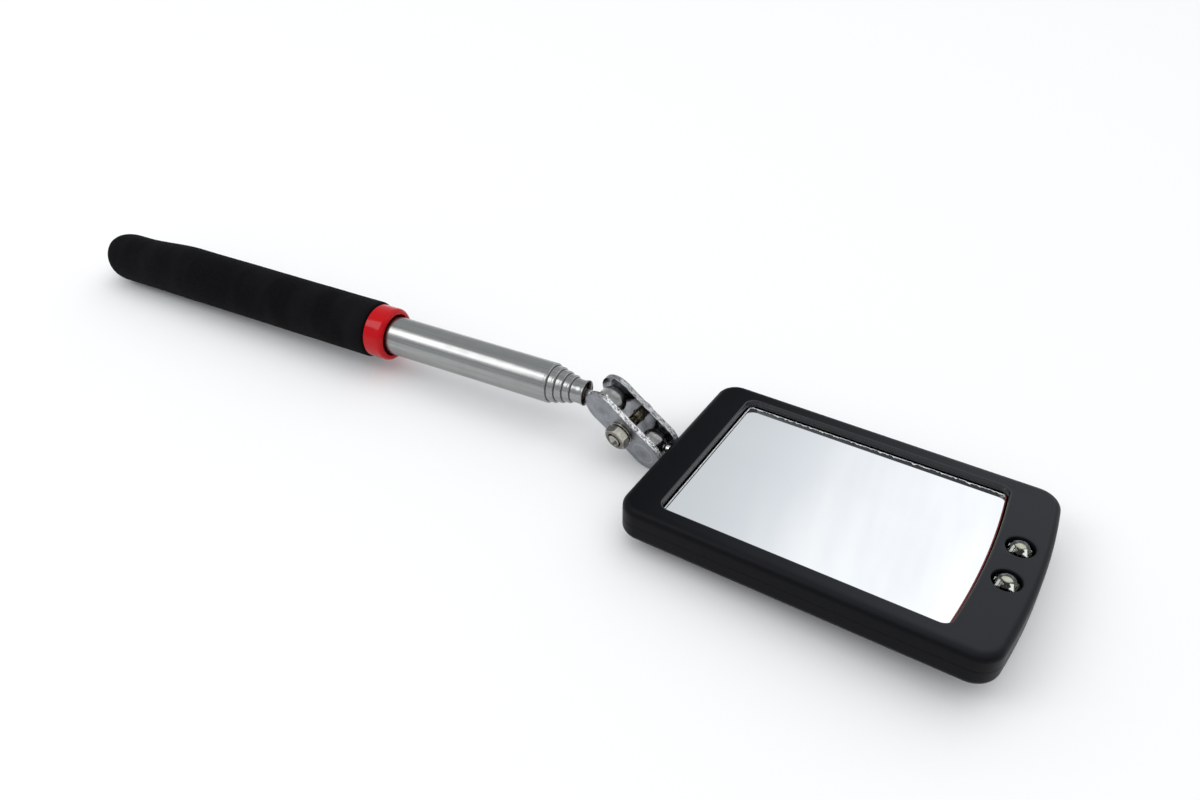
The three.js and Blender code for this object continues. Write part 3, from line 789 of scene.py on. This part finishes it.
def clamp_plate(side):
    skin = Skin()
    seats = [-SPACING / 2, SPACING / 2]

    skin.finish = 1  # the sheared edge, from the rolled-over outer corner to the torn inner one
    rolled = PLATE_OUTER - 0.17
    levels = [(0.17, PLATE_OUTER, 0.0), (0.06, PLATE_OUTER - 0.05, 0.02), (0.0, rolled, 0.04)]
    levels += [(0.0, rolled - 0.145 * i, 0.14) for i in range(1, 8)]
    levels += [(0.0, PLATE_INNER + 0.08, 0.08), (0.05, PLATE_INNER, 0.0)]
    walls = skin.skin([plate_ring(inset, side * y, rough) for inset, y, rough in levels])

    hole = skin.skin([circle(CLAMP_HOLE + grow, side * y, "y", 48) for grow, y in (
        (0.12, PLATE_OUTER), (0.0, PLATE_OUTER - 0.12), (0.0, PLATE_INNER + 0.1), (0.1, PLATE_INNER))])

    skin.finish = 0  # the outer face, where stamping the seats has left rings
    stamped = [(3.35, 0.0), (3.1, 0.055), (2.85, 0.12), (2.6, 0.06), (2.35, 0.02), (1.9, 0.0),
               (1.6, 0.05), (1.35, 0.11), (1.1, 0.06), (0.6, 0.03), (0.0, 0.03)]
    rims = []
    for x in seats:
        rings = [circle(r, side * (PLATE_OUTER - sunk), "y", 56, (0, x)) for r, sunk in stamped]
        rims.append(skin.skin(rings)[0])
    skin.fill(walls[0], hole[0], *rims)

    skin.finish = 2  # the inner face with its two ball seats
    rims = []
    for x in seats:
        edge = sqrt(SEAT_RADIUS ** 2 - PLATE_INNER ** 2)
        rings = [circle(edge + 0.08, side * PLATE_INNER, "y", 56, (0, x))]
        for i in range(12):
            r = edge * (1 - i / 11)
            rings.append(circle(r, side * sqrt(SEAT_RADIUS ** 2 - r * r), "y", 56, (0, x)))
        rims.append(skin.skin(rings)[0])
    skin.fill(walls[-1], hole[-1], *rims)
    return skin


def threaded(y0, y1, radius, pitch=0.5, depth=0.22, sides=40):
    """Rings of a threaded shank along Y, each turned into the thread's ridge by its height."""
    steps = round((y1 - y0) / (pitch / 8))
    rings = []
    for i in range(steps + 1):
        y = y0 + (y1 - y0) * i / steps
        fade = min(1.0, (y - y0) / pitch, (y1 - y) / pitch)
        ring = []
        for k in range(sides):
            turn = (y / pitch - k / sides) % 1
            ridge = 1 - abs(2 * turn - 1)
            r = radius - depth * (1 - min(1.0, 1.35 * ridge)) * fade
            a = 2 * pi * k / sides
            ring.append((r * sin(a), y, r * cos(a)))
        rings.append(ring)
    return rings


def cross_cutters(place, reach, width, depths, axis):
    """The two bars of a screw head's cross recess, between two depths along the axis."""
    cutters = []
    for a, b in ((reach, width), (width, reach)):
        u, v = (-a, a), (-b, b)
        bar = box_skin(u, depths, v) if axis == "y" else box_skin(u, v, depths)
        cutters.append(shown("cutter", bar, place))
    return cutters


def build_clamp():
    for name, side in (("near", -1), ("far", 1)):
        finishes = [PLATE, SHEARED, PLATE_INSIDE]
        piece(f"link_plate_{name}", clamp_plate(side), LINK, "link", "plated_steel", finishes, smooth=25)

    shank, tip, under_head, head_top = 1.45, -7.3, 4.0, 5.8
    skin = Skin()
    rings = [circle(0, tip, "y"), circle(shank - 0.5, tip, "y", 40),
             circle(shank - 0.14, tip + 0.32, "y", 40)]
    rings += threaded(tip + 0.35, under_head, shank)
    rings += [circle(2.45, under_head, "y", 40), circle(2.6, under_head + 0.12, "y", 40)]
    rings += [circle(r, head_top - below, "y", 40) for below, r in (
        (0.95, 2.6), (0.5, 2.42), (0.18, 2.0), (0.03, 1.4), (0, 0.8))]
    rings.append([(0, head_top, 0)])
    skin.skin(rings)
    screw = shown("clamp_screw_fine", skin, LINK)
    carve(screw, *cross_cutters(LINK, 1.4, 0.3, (head_top - 0.9, head_top + 1), "y"))
    complete(screw, "link", ["clamp_screw"], "nickel", [SCREW], smooth=40)

    # a spring washer, split on its lower side, with the ends of the wire sprung a little apart
    rings, turns = [], 90
    for i in range(turns + 1):
        a = radians(186 + 348 * i / turns)
        lift = 0.04 * (1 - 2 * i / turns)
        section = [(1.6, -4.4), (1.65, -4.44), (3.04, -4.44), (3.1, -4.38), (3.1, -4.03), (3.04, -3.97),
                   (1.65, -3.97), (1.6, -4.02)]
        rings.append([(r * sin(a), y * (1 + 0.1 * lift), r * cos(a)) for r, y in section])
    piece("clamp_washer", closed_skin(rings), LINK, "link", "nickel", [NICKEL])

    # a hexagon whose corners are chamfered on both faces
    flats, half, middle, bore, sides = 2.75, 1.2, -5.7, 1.6, 96
    chamfer = flats * 0.9
    low, high = [], []
    for i in range(sides):
        a = 2 * pi * i / sides
        reach = flats / cos((a + pi / 6) % (pi / 3) - pi / 6)
        drop = max(0.0, (reach - chamfer) * tan(radians(30)))
        for ring, y in ((low, drop - half), (high, half - drop)):
            ring.append((reach * sin(a), middle + y, reach * cos(a)))
    skin = Skin()
    skin.skin([low, high] + [circle(r, middle + y, "y", sides) for y, r in (
        (half, chamfer), (half, bore + 0.2), (half - 0.2, bore), (0, bore), (-half + 0.6, bore),
        (-half, bore + 0.42), (-half, chamfer))], closed=True)
    piece("clamp_nut", skin, LINK, "link", "nickel", [NUT], smooth=25)


# ------------ head shells

SEAM, HALF_GAP, WALL, FLOOR, ROUND = THICKNESS / 2, 0.025, 1.8, 1.2, 2.0
LIP = 7.1
OUTER = domed(0, 82.3, 27, 2.1, 5, 5.5, detail=14)
WINDOW = domed(8.4, 71.6, 22.5, 1.4, 2.2, 2.2)
LAMPS = [(76.3, -5.35), (76.3, 5.35)]
SCREWS = [(3.9, 19), (3.9, -19), (76.5, 19), (76.5, -19)]
DOOR_HINGE, DOOR_END, DOOR_HALF, DOOR_GAP = 20, 46, 22, 0.3
CELL_X, CELL_Y = 33, 10.6


def quarter(face_z, away, radius, steps=8):
    """(growth, z) of an outer edge's round, from the side wall to the face. away is +1 for a face on top."""
    turns = [radians(90 * i / steps) for i in range(steps + 1)]
    return [(-radius * (1 - cos(a)), face_z - away * radius * (1 - sin(a))) for a in turns]


def shell(seam_z, face_z, inner_z, away, holes):
    """Half of the head's case: side wall, rounded edge, face with its holes, and the hollow behind it.
    Each hole is an outline and its (growth, z) levels from the face inwards."""
    skin = Skin()
    steps = [(-0.04, seam_z), (0.0, seam_z + away * 0.04)] + quarter(face_z, away, ROUND)
    outside = skin.skin([OUTER.at(grow, z) for grow, z in steps])
    cut = []
    for outline, levels in holes:
        skin.finish = 1 if outline is WINDOW else 0
        cut.append(skin.skin([outline.at(grow, z) for grow, z in levels]))
    skin.finish = 0
    skin.fill(outside[-1], *(loops[0] for loops in cut))
    inside = skin.skin([OUTER.at(-WALL, inner_z), OUTER.at(-WALL, seam_z)])
    skin.fill(inside[0], *(loops[-1] for loops in cut))
    skin.bridge(inside[-1], outside[0])
    return skin


def build_bezel():
    window_edge = [(0.35, THICKNESS), (0.19, THICKNESS - 0.03), (0.06, THICKNESS - 0.14),
                   (0.0, THICKNESS - 0.33), (-0.02, LIP)]
    lamp_edge = [(0.35, THICKNESS), (0.18, THICKNESS - 0.03), (0.05, THICKNESS - 0.13),
                 (0.0, THICKNESS - 0.35), (0.0, LIP)]
    holes = [(WINDOW, window_edge)] + [(disc(x, y, 3.0, 64), lamp_edge) for x, y in LAMPS]
    skin = shell(SEAM + HALF_GAP, THICKNESS, LIP, 1, holes)
    piece("front_bezel", skin, HEAD, "head", "black_plastic", [BLACK, WALL_BLACK])


def build_rear_cover():
    edge = [(0.15, 0.0), (0.04, 0.05), (0.0, 0.16), (0.0, FLOOR)]
    sunk = [(0.12, 0.0), (0.0, 0.12), (0.0, 1.1), (-0.8, 1.1), (-0.8, FLOOR)]
    opening = rounded(DOOR_HINGE, DOOR_END, -DOOR_HALF, DOOR_HALF, 0.8)
    switch_slot = rounded(55.8, 62.2, -1.6, 1.6, 0.5)
    holes = [(opening, edge), (switch_slot, edge)]
    holes += [(disc(x, y, 1.75), sunk) for x, y in SCREWS]
    skin = shell(SEAM - HALF_GAP, 0.0, FLOOR, -1, holes)
    piece("rear_cover", skin, HEAD, "head", "black_plastic", [BLACK])


def build_door():
    levels = [(-0.15, 0.2), (-0.04, 0.24), (0.0, 0.35), (0.0, 0.92), (-0.08, 1.0)]
    half = DOOR_HALF - DOOR_GAP
    outline = rounded(DOOR_HINGE + DOOR_GAP, DOOR_END - DOOR_GAP, -half, half, 0.6)
    door = shown("battery_door_fine", slab(outline, levels), HEAD)
    thumb = turned([(-1, 0), (-1, 6), (0.35, 6), (0.6, 5.6), (0.6, 0)], "z", 64, (DOOR_END + 1.5, 0))
    cutters = [shown("cutter", thumb, HEAD)]
    for i in range(3):
        x = DOOR_END - 8.6 - 2 * i
        groove = slab(rounded(x - 0.4, x + 0.4, -7, 7, 0.39), [(0.0, -1), (0.0, 0.42), (-0.15, 0.5)])
        cutters.append(shown("cutter", groove, HEAD))
    carve(door, *cutters)
    tongue_skin = Skin()
    for side in (-1, 1):
        tongue = [(20.7, 0.6), (21.9, 0.6), (22.0, 1.9), (18.45, 1.9), (18.4, 1.4), (20.7, 1.35)]
        tongue_skin.capped([[(x, side * 13 + y, z) for x, z in tongue] for y in (-2, 2)])
    complete(door, "battery_door", ["battery_door"], "black_plastic", [BLACK])
    tongues = shown("battery_door_tongues", tongue_skin, HEAD)
    complete(tongues, "battery_door", [], "black_plastic", [BLACK], bevel=0.12)


def build_slider():
    x0, x1, low, high = 55.9, 59.7, 0.25, 2.85
    profile = [(x0 + 0.1, high), (x0, high - 0.1), (x0, low + 0.12), (x0 + 0.12, low)]
    for at in (57.0, 57.8, 58.6):
        profile += [(at - 0.17, low), (at - 0.12, low + 0.24), (at + 0.12, low + 0.24), (at + 0.17, low)]
    profile += [(x1 - 0.12, low), (x1, low + 0.12), (x1, high - 0.1), (x1 - 0.1, high)]
    skin = closed_skin([[(x, y, z) for x, z in profile] for y in (-1.15, 1.15)])
    piece("switch_slider", skin, HEAD, "switch_slider", "black_plastic", [BLACK], bevel=0.06)


def build_cover_screws():
    profile = [(0.42, 0.0), (0.35, 1.2), (0.42, 1.45), (0.55, 1.55), (1.05, 1.55), (1.1, 0.75),
               (6.6, 0.75), (7.1, 0)]
    for i, (x, y) in enumerate(SCREWS):
        place = HEAD @ Matrix.Translation((x * MM, y * MM, 0)) @ Matrix.Rotation(0.7 * i + 0.3, 4, "Z")
        screw = shown(f"cover_screw_{i + 1}_fine", turned(profile, "z", 40), place)
        carve(screw, *cross_cutters(place, 0.95, 0.2, (0, 0.85), "z"))
        complete(screw, "head", [f"cover_screw_{i + 1}"], "nickel", [NICKEL], smooth=35)


# ------------ mirror and lamps


def build_mirror():
    """The glass, with an arris that is chipped along its far long edge."""
    pane = domed(8.75, 71.25, 22.15, 1.35, 1.0, 1.0, detail=8, step=0.35)
    top, bottom = 6.95, 5.0

    def share(value, low, high):
        return max(0.0, min(1.0, (value - low) / (high - low)))

    def arris(width, chipped=0.0):
        """The ground edge, widest at the hinge, narrow along the near side and chipped along the far one."""
        def growth(x, y, z):
            far, hinge, tip = share(y, *GLASS_FAR), share(x, *GLASS_HINGE), share(x, *GLASS_TIP)
            tear = noise.noise(Vector((x * 0.9, y * 0.9, 3.0)))
            tear += 0.7 * noise.noise(Vector((x * 3.1, y * 3.1, 9.0)))
            ground = width * (0.3 + 0.7 * max(far, hinge, tip) + 0.4 * hinge)
            return -ground - chipped * far * max(0.0, 0.45 + tear)
        return growth

    def bare(x, y, z):
        """As the whole ground edge, and a strip of bare glass along the far side and the hinge."""
        return arris(0.26, 0.45)(x, y, z) - 0.2 * max(share(y, *GLASS_FAR), share(x, *GLASS_HINGE))

    skin = Skin()
    skin.finish = 1
    levels = [(-0.1, bottom, None), (0.0, bottom + 0.1, None), (0.0, top - 0.3, None),
              (0.0, top - 0.07, arris(0.02, 0.1)), (0.0, top - 0.035, arris(0.12, 0.28)),
              (0.0, top, arris(0.26, 0.45))]
    loops = skin.skin([pane.at(grow, z, rough) for grow, z, rough in levels])
    skin.finish = 2
    border = skin.loop(pane.at(-0.03, top, bare))
    skin.bridge(loops[-1], border)
    skin.finish = 0
    skin.fill(border)
    skin.fill(loops[0])
    piece("mirror_glass", skin, HEAD, "head", "mirror", [SILVER, CHIPPED, BORDER], smooth=20)


def build_lamps():
    radius, flange, bottom, shoulder = 2.45, 2.8, 3.3, 7.4
    lens_profile = [(bottom, 0), (bottom, flange - 0.1), (bottom + 0.1, flange), (bottom + 0.9, flange),
                    (bottom + 1, flange - 0.1), (bottom + 1, radius), (shoulder, radius)]
    for i in range(1, 15):
        a = radians(90 * i / 14)
        lens_profile.append((shoulder + 0.95 * radius * sin(a), radius * cos(a) if i < 14 else 0))
    for (x, y), name in zip(LAMPS, ("near", "far")):
        place = HEAD @ Matrix.Translation((x * MM, y * MM, 0))
        lens = shown(f"lamp_{name}_lens", turned(lens_profile, "z", 64), place)
        complete(lens, "head", [f"lamp_{name}"], "lens", [LENS], smooth=40)

        # the lead frame: a leaf-shaped anvil with the filled cup, and the post beside it
        skin = Skin()
        leaf = []
        steps = 14
        for side in (1, -1):
            for i in range(steps):
                t = -1 + 2 * i / steps
                leaf.append((side * 0.98 * t, -side * 0.56 * (1 - t * t)))
        rings = [[(u * k, v * k, z) for u, v in leaf] for k, z in (
            (0.5, 4.6), (0.5, 8.1), (0.95, 8.45), (1.0, 8.5), (1.0, 8.68), (0.96, 8.72))]
        skin.finish = 1
        stalk = skin.skin(rings[:3])
        skin.fill(stalk[0])
        skin.finish = 0
        loops = skin.skin(rings[2:])
        cup = skin.skin([circle(r, z, "z", 24) for r, z in ((0.5, 8.72), (0.42, 8.62))])
        skin.fill(loops[-1], cup[0])
        skin.bridge(cup[-1], skin.loop([(0, 0, 8.68)]))
        skin.finish = 1
        for lead_x, top in ((0.55, 4.7), (-1.45, 8.4)):
            post = rounded(lead_x - 0.24, lead_x + 0.24, -0.22, 0.22, 0.08, 3)
            skin.capped([post.at(*level) for level in ((0, bottom + 0.06), (0, top - 0.05), (-0.05, top))])
        frame_piece = shown(f"lamp_{name}_leads", skin, place)
        complete(frame_piece, "head", [], "nickel", [PHOSPHOR, LEAD], smooth=35)


def build_cells():
    for name, y in (("near", -CELL_Y), ("far", CELL_Y)):
        profile = [(1.45, 0), (1.45, 9.2), (1.5, 9.6), (1.75, 9.92), (2.0, 10), (3.55, 10), (3.8, 9.85),
                   (3.87, 9.5), (3.87, 8.95), (3.8, 8.85), (3.8, 8.6), (3.93, 8.5), (3.95, 8.2), (3.95, 0)]
        can = turned(profile, "z", 96, (CELL_X, y))
        piece(f"coin_cell_{name}", can, HEAD, "head", "cell_steel", [CELL_STEEL])


def dress_cad_nodes():
    """Materials for the CAD nodes that stay."""
    finishes = {"tube_plug": INNER_BLACK, "battery_holder": INNER_BLACK, "mirror_pad": PAD,
                "lamp_board": BOARD, "switch_body": INNER_STEEL, "bridge_contact": INNER_NICKEL,
                "battery_contact_near": INNER_NICKEL, "battery_contact_far": INNER_NICKEL,
                "wire_near": VINYL_RED, "wire_far": VINYL_BLACK}
    finishes.update({f"tube_bush_{k}": BRONZE for k in range(2, 6)})
    for node, material in finishes.items():
        mesh = frame["nodes"][node].data
        mesh.materials.clear()
        mesh.materials.append(material)


build_grip()
build_collar()
build_tubes()
build_balls()
build_clamp()
build_bezel()
build_rear_cover()
build_door()
build_slider()
build_cover_screws()
build_mirror()
build_lamps()
build_cells()
dress_cad_nodes()

# ------------ floor, light and camera


def build_floor():
    look = Look("pale_floor")
    colour = look.mixed(look.noisy(0.004, 2), (0.88, 0.88, 0.88), (0.90, 0.90, 0.90))
    material = look.done(Base_Color=colour, Roughness=0.9, Specular_IOR_Level=0.1)
    skin, far = Skin(), 4000
    skin.fill(skin.loop([(-far, -far, 0), (far, -far, 0), (far, far, 0), (-far, far, 0)]))
    floor = shown("floor", skin, Matrix.Identity(4))
    floor.data.materials.append(material)


def light(name, place, size, watts):
    """A square lamp in metres, turned towards the tool."""
    data = bpy.data.lights.new(name, "AREA")
    data.shape, data.size, data.energy = "SQUARE", size, watts
    lamp = bpy.data.objects.new(name, data)
    scene.collection.objects.link(lamp)
    lamp.location = place
    lamp.rotation_euler = (-Vector(place)).to_track_quat("-Z", "Y").to_euler()
    return lamp


def build_light():
    world = bpy.data.worlds.new("studio")
    scene.world = world
    sky = Nodes(world)
    direction = sky.add("TexCoord", output="Generated")
    # a bright cloth behind the tool, with faint folds, in an evenly lit room
    towards = sky.along(direction, Vector((0.3, 0.62, 0.72)).normalized())
    cloth = sky.span(towards, 0.72, 0.90, interpolation_type="SMOOTHSTEP")
    folds = sky.noise(sky.scaled(direction, 6, 1.2, 1.2), 2.4, 4, 0.5)
    bright = sky.mixed(sky.span(folds, 0.36, 0.62), (0.93, 0.96, 1.0), (1.12, 1.12, 1.12))
    side = sky.span(sky.axes(direction)[0], -0.37, -0.24)
    bright = sky.mixed(side, (0.64, 0.69, 0.735), bright)
    background = sky.tree.nodes["Background"]
    sky.put(background.inputs["Color"], sky.mixed(cloth, (0.62, 0.64, 0.66), bright))
    background.inputs["Strength"].default_value = 1.0
    light("key", (-0.9, -0.88, 1.3), 0.85, 7.4)
    light("overhead", (0.1, 0.1, 1.6), 1.8, 9.2).visible_glossy = False


def build_camera():
    """The photograph's viewpoint, from the head's own frame."""
    target, distance = Vector((-28.84, 12.96, 0)) * MM, 255.58 * MM
    elevation, azimuth, roll = radians(36.26), radians(-57.35), radians(-0.49)
    back = Vector((cos(elevation) * cos(azimuth), cos(elevation) * sin(azimuth), sin(elevation)))
    right = Vector((0, 0, 1)).cross(back).normalized()
    up = back.cross(right)
    right, up = right * cos(roll) + up * sin(roll), up * cos(roll) - right * sin(roll)
    pose = Matrix((right, up, back)).transposed().to_4x4()
    pose.translation = target + back * distance
    data = bpy.data.cameras.new("camera")
    data.lens, data.sensor_width = 29.74, 36
    data.clip_start, data.clip_end = 0.005, 20
    camera = bpy.data.objects.new("camera", data)
    scene.collection.objects.link(camera)
    camera.matrix_world = HEAD @ pose
    scene.camera = camera


build_floor()
build_light()
build_camera()
scene.view_settings.view_transform = "Standard"
